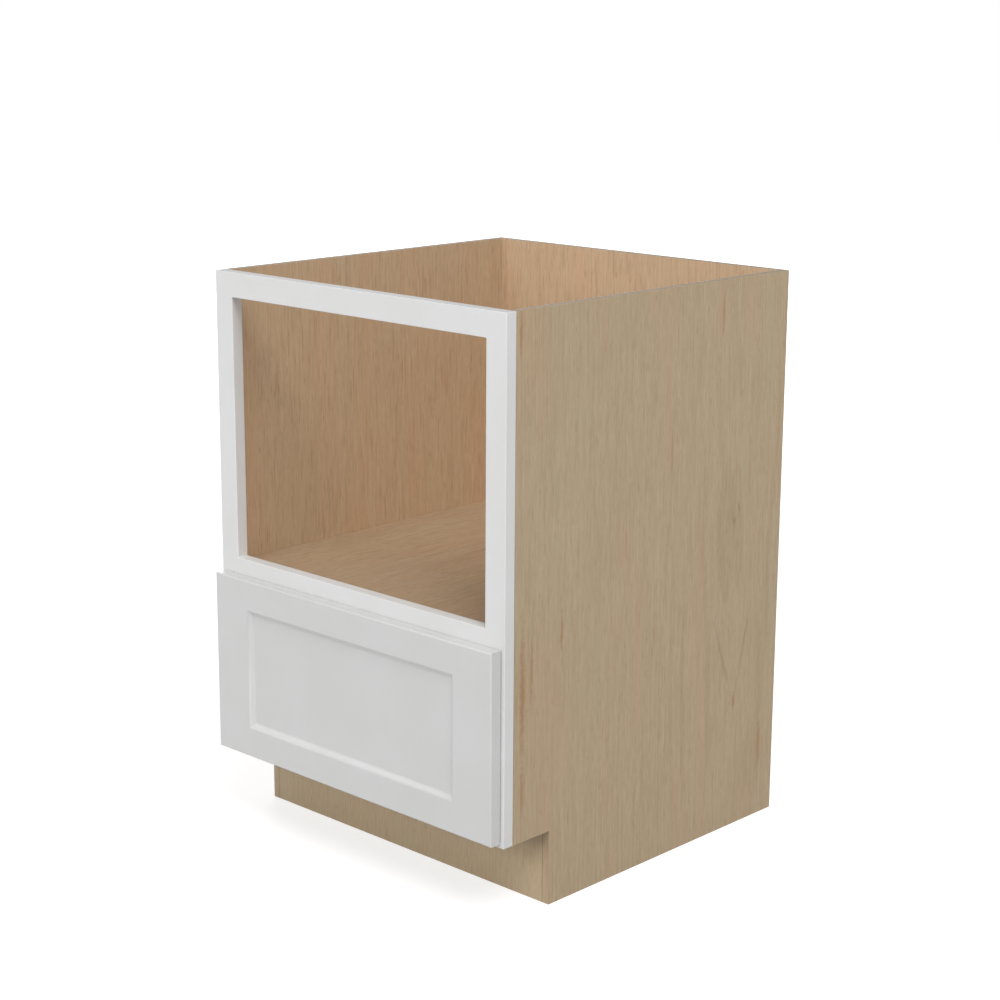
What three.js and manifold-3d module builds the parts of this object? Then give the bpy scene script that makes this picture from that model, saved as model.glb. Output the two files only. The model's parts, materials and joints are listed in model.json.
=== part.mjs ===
// Base cabinet for a built-in microwave: a face-frame carcass with an open bay above one wide drawer.
// Millimetres. X runs to the right, Y to the back and Z up. In the code y = 0 is the front of the face
// frame and z = 0 the floor; the last lines centre the whole cabinet on the origin.
import * as THREE from 'three';
import { mergeVertices } from 'three/addons/utils/BufferGeometryUtils.js';
import Module from 'manifold-3d';

const wasm = await Module();
wasm.setup();

const inch = 25.4;

// Carcass
const cabinetWidth = 24 * inch;
const cabinetHeight = 34.5 * inch;
const boxDepth = 24 * inch; // side panels, behind the face frame
const sideThickness = 0.5 * inch;
const backThickness = 0.5 * inch;
const shelfThickness = 0.75 * inch;
const floorThickness = 0.5 * inch;
const housingDepth = 0.25 * inch; // how far shelf and floor reach into the side panels
const shelfTongue = 0.5 * inch; // thickness of the shelf where the side panels house it
const rebateDepth = 0.3125 * inch; // how far the back reaches into them
const shelfDrop = 7 / 16 * inch; // shelf surface below the top of the middle rail
const floorDrop = 0.125 * inch; // cabinet floor below the top of the bottom rail

// Toe kick
const toeHeight = 4.5 * inch;
const toeRecess = 3 * inch; // from the back of the face frame to the toe board
const toeBoardThickness = 0.5 * inch;
const cornerBlockSize = 0.75 * inch;
const cornerBlockHeight = 3.5 * inch;

// Face frame
const frameThickness = 0.75 * inch;
const stileWidth = 1.5 * inch;
const topRailHeight = 1.5 * inch;
const middleRailHeight = 1.5 * inch;
const bottomRailHeight = 1.5 * inch;
const drawerOpeningHeight = 9.5 * inch;
const tenonLength = 0.5 * inch;
const tenonThickness = 0.25 * inch;
const tenonShoulder = 0.25 * inch; // rail left above and below each tenon

// Drawer front
const frontThickness = 0.75 * inch;
const frontReveal = 0.25 * inch; // frame showing beside and below the front
const frontOverlap = 0.5 * inch; // front over the middle rail
const frontStileWidth = 75;
const frontRailWidth = 47;
const stickingWidth = 10; // slope between frame face and sunk panel
const stickingDepth = 6;
const stickingLip = 1; // square edge between the slope and the panel
const frontEdgeRadius = 2.5;
const frontPanelThickness = 0.25 * inch;
const frontGrooveDepth = 9;
const bumperGap = 1;
const bumperRadius = 4.8;
const bumperInset = 16; // bumper centre from the edges of the front

// Drawer box
const boxSideThickness = 0.5 * inch;
const boxEndThickness = 0.5 * inch;
const boxUnderClearance = 0.5 * inch;
const boxTopClearance = 1 * inch;
const boxBottomThickness = 0.25 * inch;
const boxBottomHeight = 0.5 * inch; // underside of the drawer bottom above the lower edge
const boxGrooveDepth = 0.25 * inch;
const tailCount = 4;
const pinWidth = 8; // at the end of the box, where a pin is narrowest
const pinSlope = 1 / 6;

// Drawer runners
const runnerSpace = 0.5 * inch; // on each side of the drawer box
const runnerStep = 2 * inch; // runners come in lengths of whole steps
const runnerSetback = 3; // runner behind the front of the face frame
const runnerRearSpace = 1 * inch; // least room between runner and back panel
const runnerHeight = 45;
const runnerRise = 3 * inch; // centre of the runner above the lower edge of the drawer box
const runnerSheet = 1.2;
const ballRadius = 1.6;
const retainerSheet = 0.8;
const retainerEndRoom = 20;
const ballsPerRow = 5;
const memberFlangeShare = 0.75; // of the runner's thickness, for the flanges of the cabinet member
const bracketSheet = 2;
const bracketOverlap = 40;
const bracketHeight = 36;

// Screws
const screwRadius = 1.9;
const screwHeadRadius = 3.6;
const screwHeadHeight = 1;
const screwSpread = 16; // distance between the two screws of a pair
const frontScrewInset = 10; // screws of the drawer front, from the sides of the drawer box
const frontScrewMargin = 40; // and from its upper and lower edges
const memberScrewShares = [0.12, 0.6]; // screws into the drawer box, as shares of the runner's length
const stileScrewLength = 16;
const frontScrewLength = 22;
const panelScrewLength = 10;
const boxSideScrewLength = 9;
const linkScrewReach = 4; // of the screw between runner and rear bracket, past the bracket

// Clearances
const glueLine = 0.2;
const runningGap = 0.15;
const sheetGap = 0.3; // between the flat webs of the runner's members
const holeClearance = 0.15;
const overrun = 1; // how far cutting shapes run past a face, and joined shapes into each other

// Levels and positions that follow from the sizes above
const halfWidth = cabinetWidth / 2;
const sideInner = halfWidth - sideThickness;
const openingHalf = halfWidth - stileWidth;
const boxFront = frameThickness;
const boxRear = frameThickness + boxDepth;
const backInner = boxRear - backThickness;
const toeFace = frameThickness + toeRecess;
const bottomRailTop = toeHeight + bottomRailHeight;
const middleRailBottom = bottomRailTop + drawerOpeningHeight;
const middleRailTop = middleRailBottom + middleRailHeight;
const topRailBottom = cabinetHeight - topRailHeight;
const shelfTop = middleRailTop - shelfDrop;
const floorTop = bottomRailTop - floorDrop;
const floorUnderside = floorTop - floorThickness;

const frontBack = -bumperGap;
const frontFace = frontBack - frontThickness;
const frontHalf = halfWidth - frontReveal;
const frontBottom = toeHeight + frontReveal;
const frontTop = middleRailBottom + frontOverlap;
const frontPanelFace = frontFace + stickingDepth;

const drawerHalf = openingHalf - runnerSpace;
const boxInnerHalf = drawerHalf - boxSideThickness;
const drawerBottomEdge = bottomRailTop + boxUnderClearance;
const drawerTopEdge = middleRailBottom - boxTopClearance;
const drawerFrontEnd = frontBack + glueLine;
const runnerRoom = backInner - runnerRearSpace - runnerSetback;
const runnerLength = Math.floor(runnerRoom / runnerStep) * runnerStep;
const runnerRear = runnerSetback + runnerLength;
const drawerRearEnd = runnerRear;
const runnerLevel = drawerBottomEdge + runnerRise;
const runnerOuterFace = openingHalf - glueLine;
const runnerThickness = runnerSpace - 2 * glueLine;

// Materials
function finish(color, roughness, metalness = 0) {
  return new THREE.MeshStandardMaterial({ color, roughness, metalness });
}
const whitePaint = finish(0xe4e4e4, 0.42);
const maplePly = finish(0xc7b291, 0.6);
const drawerMaple = finish(0xd3bd97, 0.55);
const zincSteel = finish(0xb9bcbe, 0.35, 0.9);
const retainerSteel = finish(0x8f9294, 0.4, 0.85);
const screwSteel = finish(0xa7a9a8, 0.3, 0.9);
const bumperPlastic = finish(0xdedfdb, 0.3);

const cabinet = new THREE.Group();

function add(name, geometry, material) {
  const mesh = new THREE.Mesh(geometry, material);
  mesh.name = name;
  cabinet.add(mesh);
}

// Solids: closed geometry to and from the boolean library
function solid(geometry) {
  const bare = geometry.clone();
  bare.deleteAttribute('normal');
  bare.deleteAttribute('uv');
  const merged = mergeVertices(bare, 1e-4);
  const mesh = new wasm.Mesh({
    numProp: 3,
    vertProperties: new Float32Array(merged.attributes.position.array),
    triVerts: new Uint32Array(merged.index.array),
  });
  return new wasm.Manifold(mesh);
}

function geometryOf(manifold) {
  const mesh = manifold.getMesh();
  const geometry = new THREE.BufferGeometry();
  geometry.setAttribute('position', new THREE.BufferAttribute(mesh.vertProperties, 3));
  geometry.setIndex(new THREE.BufferAttribute(mesh.triVerts, 1));
  return geometry;
}

function cut(geometry, ...tools) {
  return geometryOf(tools.reduce((body, tool) => body.subtract(solid(tool)), solid(geometry)));
}

function join(geometry, ...others) {
  return geometryOf(others.reduce((body, other) => body.add(solid(other)), solid(geometry)));
}

function common(geometry, other) {
  return geometryOf(solid(geometry).intersect(solid(other)));
}

// A box between two corners, whose X ends may come in either order
function block([x0, x1], [y0, y1], [z0, z1]) {
  const box = new THREE.BoxGeometry(Math.abs(x1 - x0), y1 - y0, z1 - z0);
  return box.translate((x0 + x1) / 2, (y0 + y1) / 2, (z0 + z1) / 2);
}

function grow([low, high], by) {
  return low < high ? [low - by, high + by] : [low + by, high - by];
}

// A bar with a flat outline: drawn in Y and Z and run along X, or drawn in X and Z and run along Y,
// or drawn in X and Y and run along Z
const directions = {
  x: [new THREE.Vector3(0, 1, 0), new THREE.Vector3(0, 0, 1), new THREE.Vector3(1, 0, 0)],
  y: [new THREE.Vector3(1, 0, 0), new THREE.Vector3(0, 0, 1), new THREE.Vector3(0, -1, 0)],
  z: [new THREE.Vector3(1, 0, 0), new THREE.Vector3(0, 1, 0), new THREE.Vector3(0, 0, 1)],
};

function bar(outline, axis, [start, end]) {
  const length = Math.abs(end - start);
  const geometry = new THREE.ExtrudeGeometry(outline, { depth: length, bevelEnabled: false });
  geometry.applyMatrix4(new THREE.Matrix4().makeBasis(...directions[axis]));
  const from = axis === 'y' ? Math.max(start, end) : Math.min(start, end);
  return geometry.translate(axis === 'x' ? from : 0, axis === 'y' ? from : 0, axis === 'z' ? from : 0);
}

function outlineOf(points) {
  return new THREE.Shape(points.map(([a, b]) => new THREE.Vector2(a, b)));
}

// Screws and their holes. A screw's head seats at `seat` and its shank runs along `way`.
const roundSides = 12;
const ballSides = [8, 5];
const arcSteps = 4;

function turnedTo(geometry, seat, way) {
  const down = new THREE.Vector3(0, -1, 0);
  const turn = new THREE.Quaternion().setFromUnitVectors(down, new THREE.Vector3(...way));
  return geometry.applyQuaternion(turn).translate(...seat);
}

function screw(seat, way, length) {
  const tip = 2 * screwRadius;
  const profile = [
    new THREE.Vector2(0, -length),
    new THREE.Vector2(screwRadius, -length + tip),
    new THREE.Vector2(screwRadius, 0),
    new THREE.Vector2(screwHeadRadius, 0),
    new THREE.Vector2(screwHeadRadius, screwHeadHeight / 2),
    new THREE.Vector2(screwHeadRadius / 2, screwHeadHeight),
    new THREE.Vector2(0, screwHeadHeight),
  ];
  const geometry = new THREE.LatheGeometry(profile, roundSides).translate(0, glueLine / 2, 0);
  return turnedTo(geometry, seat, way);
}

function screwHole(seat, way, length) {
  const radius = screwRadius + holeClearance;
  const reach = length + 2 * holeClearance;
  const geometry = new THREE.CylinderGeometry(radius, radius, reach + overrun, roundSides);
  return turnedTo(geometry.translate(0, (overrun - reach) / 2, 0), seat, way);
}

const sides = [['left', -1], ['right', 1]];

// Carcass panels: shelf, floor and back are let into the side panels
const housedHalf = sideInner + housingDepth - glueLine;
const insideY = [boxFront + glueLine, backInner - glueLine];
const shelfUnderside = shelfTop - shelfThickness;
const shelfTongues = [[-housedHalf, housedHalf], insideY, [shelfUnderside, shelfUnderside + shelfTongue]];
const floorBlock = [[-housedHalf, housedHalf], insideY, [floorUnderside, floorTop]];
const rebatedHalf = sideInner + rebateDepth - glueLine;
const backBlock = [[-rebatedHalf, rebatedHalf], [backInner, boxRear], [0, cabinetHeight]];

function housing([x, y, z]) {
  return block(grow(x, glueLine), grow(y, glueLine), grow(z, glueLine));
}

function rebate([x, y, z]) {
  return block(grow(x, glueLine), [y[0] - glueLine, y[1] + overrun], grow(z, overrun));
}

for (const [side, sign] of sides) {
  const panel = outlineOf([
    [boxFront + glueLine, toeHeight],
    [toeFace, toeHeight],
    [toeFace, 0],
    [boxRear, 0],
    [boxRear, cabinetHeight],
    [boxFront + glueLine, cabinetHeight],
  ]);
  const plain = bar(panel, 'x', [sign * sideInner, sign * halfWidth]);
  const cuts = [housing(shelfTongues), housing(floorBlock), rebate(backBlock)];
  add(`side_panel_${side}`, cut(plain, ...cuts), maplePly);
}
const shelfHalf = sideInner - glueLine;
const shelfBoard = block([-shelfHalf, shelfHalf], insideY, [shelfUnderside, shelfTop]);
add('microwave_shelf', join(shelfBoard, block(...shelfTongues)), maplePly);
add('cabinet_floor', block(...floorBlock), maplePly);

// Toe kick board between the side panels, with a glued block in each corner behind it
const toeBoardHalf = sideInner - glueLine;
const toeBoardTop = floorUnderside - glueLine;
add('toe_kick_board', block([-toeBoardHalf, toeBoardHalf], [toeFace, toeFace + toeBoardThickness],
  [0, toeBoardTop]), maplePly);
for (const [side, sign] of sides) {
  const blockFront = toeFace + toeBoardThickness + glueLine;
  add(`toe_corner_block_${side}`, block([sign * toeBoardHalf, sign * (toeBoardHalf - cornerBlockSize)],
    [blockFront, blockFront + cornerBlockSize], [toeBoardTop - cornerBlockHeight, toeBoardTop]), maplePly);
}

// Face frame: rails with stub tenons between two full-height stiles
const rails = [
  ['frame_top_rail', topRailBottom, cabinetHeight],
  ['frame_middle_rail', middleRailBottom, middleRailTop],
  ['frame_bottom_rail', toeHeight, bottomRailTop],
];
const tenonY = [(frameThickness - tenonThickness) / 2, (frameThickness + tenonThickness) / 2];

function tenon([bottom, top], sign) {
  const shoulder = openingHalf - glueLine;
  return [[sign * (shoulder - overrun), sign * (openingHalf + tenonLength)], tenonY,
    [bottom + tenonShoulder, top - tenonShoulder]];
}

const runnerScrewLevels = [-1, 1].map((step) => runnerLevel + step * screwSpread / 2);
const runnerWebFace = runnerOuterFace - runnerSheet;
const stileScrewY = frameThickness / 2;

function stileScrewSeat(sign, level) {
  return [sign * runnerWebFace, stileScrewY, level];
}

for (const [name, bottom, top] of rails) {
  const shoulder = openingHalf - glueLine;
  const rail = block([-shoulder, shoulder], [0, frameThickness], [bottom, top]);
  const tenons = [-1, 1].map((sign) => block(...tenon([bottom, top], sign)));
  add(name, join(rail, ...tenons), whitePaint);
}
for (const [side, sign] of sides) {
  const width = [sign * openingHalf, sign * halfWidth];
  const stile = block(width, [0, frameThickness], [toeHeight, cabinetHeight]);
  const mortises = rails.map(([, bottom, top]) => {
    const [x, y, z] = tenon([bottom, top], sign);
    return block(grow(x, glueLine), grow(y, glueLine), grow(z, glueLine));
  });
  const holes = runnerScrewLevels.map((level) =>
    screwHole(stileScrewSeat(sign, level), [sign, 0, 0], stileScrewLength));
  add(`frame_stile_${side}`, cut(stile, ...mortises, ...holes), whitePaint);
}

// Drawer front: a sunk flat panel in a frame whose inner edge slopes down to it.
// The section is drawn with its first axis across the board, from the outer edge inwards,
// and its second axis through the thickness, from the front face to the back.
const grooveWalls = [stickingDepth - glueLine, stickingDepth + frontPanelThickness + glueLine];

// `allowance` swells the section's inner edge, for the glue line where a rail meets a stile
function frontSection(boardWidth, allowance = 0) {
  const inner = boardWidth + stickingWidth + allowance;
  const grooveBottom = inner - frontGrooveDepth;
  const radius = frontEdgeRadius;
  const section = new THREE.Path();
  section.moveTo(radius, 0);
  section.lineTo(boardWidth + allowance, 0);
  section.lineTo(inner, stickingDepth - stickingLip);
  section.lineTo(inner, grooveWalls[0] + allowance);
  section.lineTo(grooveBottom, grooveWalls[0] + allowance);
  section.lineTo(grooveBottom, grooveWalls[1] - allowance);
  section.lineTo(inner, grooveWalls[1] - allowance);
  section.lineTo(inner, frontThickness);
  section.lineTo(0, frontThickness);
  section.lineTo(0, radius);
  section.absarc(radius, radius, radius, Math.PI, 1.5 * Math.PI, false);
  return section.getPoints(arcSteps);
}

function frontStile(sign, allowance = 0) {
  const outline = frontSection(frontStileWidth, allowance).map(({ x, y }) =>
    new THREE.Vector2(sign * (frontHalf - x), frontFace + y));
  return bar(new THREE.Shape(outline), 'z', [frontBottom - allowance, frontTop + allowance]);
}

// A rail runs between the stiles, its ends coped to their section
function frontRail(outerEdge, inwards) {
  const outline = frontSection(frontRailWidth).map(({ x, y }) =>
    new THREE.Vector2(frontFace + y, outerEdge + inwards * x));
  const reach = frontHalf - frontStileWidth - glueLine;
  const rail = bar(new THREE.Shape(outline), 'x', [-reach, reach]);
  return cut(rail, frontStile(-1, glueLine), frontStile(1, glueLine));
}

const frontScrewX = boxInnerHalf - frontScrewInset;
const frontScrewLevels = [drawerBottomEdge + frontScrewMargin, drawerTopEdge - frontScrewMargin];
const boxFrontInner = drawerFrontEnd + boxEndThickness;

function frontScrewSeat(sign, level) {
  return [sign * frontScrewX, boxFrontInner, level];
}

for (const [side, sign] of sides) {
  const holes = frontScrewLevels.map((level) =>
    screwHole(frontScrewSeat(sign, level), [0, -1, 0], frontScrewLength));
  add(`drawer_front_stile_${side}`, cut(frontStile(sign), ...holes), whitePaint);
}
add('drawer_front_rail_top', frontRail(frontTop, -1), whitePaint);
add('drawer_front_rail_bottom', frontRail(frontBottom, 1), whitePaint);
const panelLap = frontGrooveDepth - stickingWidth - 2 * glueLine; // past the flat of the boards
const frontPanelHalf = frontHalf - frontStileWidth + panelLap;
add('drawer_front_panel', block([-frontPanelHalf, frontPanelHalf],
  [frontPanelFace, frontPanelFace + frontPanelThickness],
  [frontBottom + frontRailWidth - panelLap, frontTop - frontRailWidth + panelLap]), whitePaint);

// Soft bumpers at the back corners of the drawer front
for (const [side, sign] of sides) {
  for (const [level, z] of [['lower', frontBottom + bumperInset], ['upper', frontTop - bumperInset]]) {
    const thickness = bumperGap - 2 * runningGap;
    const disc = new THREE.CylinderGeometry(bumperRadius, bumperRadius, thickness, roundSides);
    const seat = [sign * (frontHalf - bumperInset), frontBack + bumperGap / 2, z];
    add(`bumper_${level}_${side}`, turnedTo(disc, seat, [0, -1, 0]), bumperPlastic);
  }
}

// Drawer box: through dovetails at the corners. Each pin is a wedge, narrow at the end of the box.
const pinPitch = (drawerTopEdge - drawerBottomEdge) / tailCount;

function pin(index, end, inwards, [x0, x1], clearance) {
  const centre = drawerBottomEdge + index * pinPitch;
  const narrow = pinWidth / 2 + clearance;
  const wide = narrow + boxEndThickness * pinSlope;
  const near = end - inwards * clearance;
  const far = end + inwards * (boxEndThickness + clearance);
  return bar(outlineOf([[near, centre - narrow], [near, centre + narrow], [far, centre + wide],
    [far, centre - wide]]), 'x', [x0, x1]);
}

function pinRow(end, inwards, x, clearance) {
  const pins = [];
  for (let index = 0; index <= tailCount; index += 1) pins.push(pin(index, end, inwards, x, clearance));
  return pins;
}

const bottomReach = boxInnerHalf + boxGrooveDepth - glueLine;
const bottomBlock = [[-bottomReach, bottomReach],
  [boxFrontInner - boxGrooveDepth + glueLine, drawerRearEnd - boxEndThickness + boxGrooveDepth - glueLine],
  [drawerBottomEdge + boxBottomHeight, drawerBottomEdge + boxBottomHeight + boxBottomThickness]];
const boxEnds = [['drawer_box_front', drawerFrontEnd, 1], ['drawer_box_back', drawerRearEnd, -1]];
const boxLevels = [drawerBottomEdge, drawerTopEdge];
const memberScrewsY = memberScrewShares.map((share) => runnerSetback + share * runnerLength);

function memberScrewSeat(sign, y) {
  return [sign * (drawerHalf + glueLine + runnerSheet), y, runnerLevel];
}

for (const [name, end, inwards] of boxEnds) {
  const thickness = [end, end + inwards * boxEndThickness].sort((a, b) => a - b);
  const board = block([-(boxInnerHalf - glueLine), boxInnerHalf - glueLine], thickness, boxLevels);
  const pins = [-1, 1].flatMap((sign) =>
    pinRow(end, inwards, [sign * (boxInnerHalf - overrun), sign * drawerHalf], 0));
  const whole = common(join(board, ...pins), block([-halfWidth, halfWidth], thickness, boxLevels));
  const holes = name === 'drawer_box_front'
    ? [-1, 1].flatMap((sign) => frontScrewLevels.map((level) =>
      screwHole(frontScrewSeat(sign, level), [0, -1, 0], frontScrewLength)))
    : [];
  add(name, cut(whole, housing(bottomBlock), ...holes), drawerMaple);
}
for (const [side, sign] of sides) {
  const board = block([sign * boxInnerHalf, sign * drawerHalf], [drawerFrontEnd, drawerRearEnd], boxLevels);
  const sockets = boxEnds.flatMap(([, end, inwards]) =>
    pinRow(end, inwards, [sign * (boxInnerHalf - overrun), sign * (drawerHalf + overrun)], glueLine));
  const holes = memberScrewsY.map((y) =>
    screwHole(memberScrewSeat(sign, y), [-sign, 0, 0], boxSideScrewLength));
  add(`drawer_box_side_${side}`, cut(board, ...sockets, housing(bottomBlock), ...holes), drawerMaple);
}
add('drawer_bottom', block(...bottomBlock), drawerMaple);
for (const [side, sign] of sides) {
  frontScrewLevels.forEach((level, index) => {
    const name = `drawer_front_screw_${side}_${index + 1}`;
    add(name, screw(frontScrewSeat(sign, level), [0, -1, 0], frontScrewLength), screwSteel);
  });
}

// Runners: three channels inside each other, with balls in retainers between them.
// `depth` counts from the face on the stile towards the drawer, and heights from the runner's centre.
const cabinetHalfHeight = runnerHeight / 2;
const outerBallRow = cabinetHalfHeight - runnerSheet - runningGap - ballRadius;
const middleHalfHeight = outerBallRow - ballRadius - runningGap;
const innerBallRow = middleHalfHeight - runnerSheet - runningGap - ballRadius;
const drawerHalfHeight = innerBallRow - ballRadius - runningGap;
const outerRetainerWeb = runnerSheet + sheetGap;
const middleWeb = outerRetainerWeb + retainerSheet + sheetGap;
const innerRetainerWeb = middleWeb + runnerSheet + sheetGap;
const drawerFlangeEnd = innerRetainerWeb + retainerSheet + sheetGap;
const innerRetainerEnd = runnerThickness - runnerSheet - 2 * sheetGap;
const innerBallDepth = innerRetainerEnd - ballRadius - sheetGap;
const outerBallDepth = middleWeb + 2 * ballRadius;
const outerRetainerEnd = outerBallDepth + ballRadius + sheetGap;
const runnerSpan = [runnerSetback, runnerRear];
const retainerMargin = runnerLength / 4 + retainerEndRoom;
const retainerSpan = [runnerSetback + retainerMargin, runnerRear - retainerMargin];

function runnerX(sign, depth) {
  return sign * (runnerOuterFace - depth);
}

// A channel: its web starts at `web`, its flanges run to `flangeEnd`
function channel(sign, web, flangeEnd, halfHeight, sheet, span) {
  const webFar = web + Math.sign(flangeEnd - web) * sheet;
  const inner = halfHeight - sheet;
  const points = [
    [web, -halfHeight], [flangeEnd, -halfHeight], [flangeEnd, -inner], [webFar, -inner],
    [webFar, inner], [flangeEnd, inner], [flangeEnd, halfHeight], [web, halfHeight],
  ];
  return bar(outlineOf(points.map(([depth, z]) => [runnerX(sign, depth), runnerLevel + z])), 'y', span);
}

function retainer(sign, web, end, ballRow, ballDepth) {
  const strip = channel(sign, web, end, ballRow + retainerSheet / 2, retainerSheet, retainerSpan);
  const pitch = (retainerSpan[1] - retainerSpan[0]) / ballsPerRow;
  const balls = [];
  for (let index = 0; index < ballsPerRow; index += 1) {
    for (const row of [-ballRow, ballRow]) {
      const ball = new THREE.SphereGeometry(ballRadius, ...ballSides);
      const y = retainerSpan[0] + (index + 0.5) * pitch;
      balls.push(ball.translate(runnerX(sign, ballDepth), y, runnerLevel + row));
    }
  }
  return join(strip, ...balls);
}

// Rear bracket: an angle that carries the runner's rear end from the back panel
const bracketArmFace = runnerOuterFace + glueLine;
const bracketArmBack = bracketArmFace + bracketSheet;
const bracketPlateEnd = sideInner - 2 * glueLine;
const bracketPlateFace = backInner - glueLine - bracketSheet;
const bracketScrewX = (bracketArmBack + bracketPlateEnd) / 2;
const linkScrewY = runnerRear - bracketOverlap / 2;

function bracketScrewSeat(sign, level) {
  return [sign * bracketScrewX, bracketPlateFace, level];
}

function linkScrewSeat(sign) {
  return [sign * runnerWebFace, linkScrewY, runnerLevel];
}

const linkScrewLength = runnerSheet + glueLine + bracketSheet + linkScrewReach;

for (const [side, sign] of sides) {
  const out = [sign, 0, 0];
  const inwards = [-sign, 0, 0];
  const stileSeats = runnerScrewLevels.map((level) => stileScrewSeat(sign, level));
  const linkSeat = linkScrewSeat(sign);
  const memberFlangeEnd = runnerThickness * memberFlangeShare;
  const cabinetMember = channel(sign, 0, memberFlangeEnd, cabinetHalfHeight, runnerSheet, runnerSpan);
  add(`runner_cabinet_member_${side}`, cut(cabinetMember,
    ...stileSeats.map((seat) => screwHole(seat, out, stileScrewLength)),
    screwHole(linkSeat, out, linkScrewLength)), zincSteel);
  add(`runner_outer_retainer_${side}`,
    retainer(sign, outerRetainerWeb, outerRetainerEnd, outerBallRow, outerBallDepth), retainerSteel);
  const middleFlangeEnd = innerRetainerEnd + sheetGap;
  add(`runner_middle_member_${side}`,
    channel(sign, middleWeb, middleFlangeEnd, middleHalfHeight, runnerSheet, runnerSpan), zincSteel);
  add(`runner_inner_retainer_${side}`,
    retainer(sign, innerRetainerWeb, innerRetainerEnd, innerBallRow, innerBallDepth), retainerSteel);
  const drawerMember = channel(sign, runnerThickness, drawerFlangeEnd, drawerHalfHeight, runnerSheet,
    runnerSpan);
  const memberSeats = memberScrewsY.map((y) => memberScrewSeat(sign, y));
  add(`runner_drawer_member_${side}`, cut(drawerMember,
    ...memberSeats.map((seat) => screwHole(seat, inwards, boxSideScrewLength))), zincSteel);

  const arm = block([sign * bracketArmFace, sign * bracketArmBack],
    [runnerRear - bracketOverlap, backInner - glueLine],
    [runnerLevel - bracketHeight / 2, runnerLevel + bracketHeight / 2]);
  const plate = block([sign * bracketArmFace, sign * bracketPlateEnd],
    [bracketPlateFace, backInner - glueLine],
    [runnerLevel - bracketHeight / 2, runnerLevel + bracketHeight / 2]);
  const bracketSeats = runnerScrewLevels.map((level) => bracketScrewSeat(sign, level));
  add(`runner_rear_bracket_${side}`, cut(join(arm, plate),
    ...bracketSeats.map((seat) => screwHole(seat, [0, 1, 0], panelScrewLength)),
    screwHole(linkSeat, out, linkScrewLength)), zincSteel);

  stileSeats.forEach((seat, index) =>
    add(`stile_screw_${side}_${index + 1}`, screw(seat, out, stileScrewLength), screwSteel));
  bracketSeats.forEach((seat, index) =>
    add(`bracket_screw_${side}_${index + 1}`, screw(seat, [0, 1, 0], panelScrewLength), screwSteel));
  add(`runner_link_screw_${side}`, screw(linkSeat, out, linkScrewLength), screwSteel);
  memberSeats.forEach((seat, index) =>
    add(`drawer_side_screw_${side}_${index + 1}`, screw(seat, inwards, boxSideScrewLength), screwSteel));
}

// Back panel, flush with the rear edges of the side panels
const bracketHoles = sides.flatMap(([, sign]) => runnerScrewLevels.map((level) =>
  screwHole(bracketScrewSeat(sign, level), [0, 1, 0], panelScrewLength)));
add('back_panel', cut(block(...backBlock), ...bracketHoles), maplePly);

cabinet.position.y = -(frontFace + boxRear) / 2;

export default cabinet;
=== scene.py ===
"""Microwave cabinet: white lacquered face frame and drawer front on a carcass of maple plywood.

Metres, X to the right, Y to the wall, Z up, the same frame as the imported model.
"""
import json
import math

import bmesh
import bpy
from mathutils import Matrix, Vector

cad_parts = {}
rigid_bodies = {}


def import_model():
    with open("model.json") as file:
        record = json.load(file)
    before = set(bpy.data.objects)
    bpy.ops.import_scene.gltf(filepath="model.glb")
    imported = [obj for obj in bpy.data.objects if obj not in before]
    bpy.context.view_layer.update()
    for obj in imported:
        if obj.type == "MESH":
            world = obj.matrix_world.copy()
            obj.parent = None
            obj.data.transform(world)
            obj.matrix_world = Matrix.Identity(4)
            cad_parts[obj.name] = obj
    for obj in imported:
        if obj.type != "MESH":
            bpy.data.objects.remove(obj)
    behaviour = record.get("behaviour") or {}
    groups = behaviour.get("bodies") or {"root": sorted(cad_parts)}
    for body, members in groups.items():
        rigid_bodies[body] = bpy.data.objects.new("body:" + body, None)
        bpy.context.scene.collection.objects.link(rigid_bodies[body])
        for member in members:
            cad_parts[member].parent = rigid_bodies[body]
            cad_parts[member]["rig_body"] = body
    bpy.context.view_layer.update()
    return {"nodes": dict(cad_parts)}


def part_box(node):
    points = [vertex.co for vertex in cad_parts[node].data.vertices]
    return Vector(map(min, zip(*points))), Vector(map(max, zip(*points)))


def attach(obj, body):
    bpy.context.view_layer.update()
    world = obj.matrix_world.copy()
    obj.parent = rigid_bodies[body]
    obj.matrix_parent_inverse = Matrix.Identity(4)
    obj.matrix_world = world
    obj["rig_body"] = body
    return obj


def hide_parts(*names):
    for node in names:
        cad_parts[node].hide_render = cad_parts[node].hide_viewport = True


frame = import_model()

MM = 0.001
SIDES = (("left", -1), ("right", 1))


# ---------------------------------------------------------------- finishes

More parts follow.
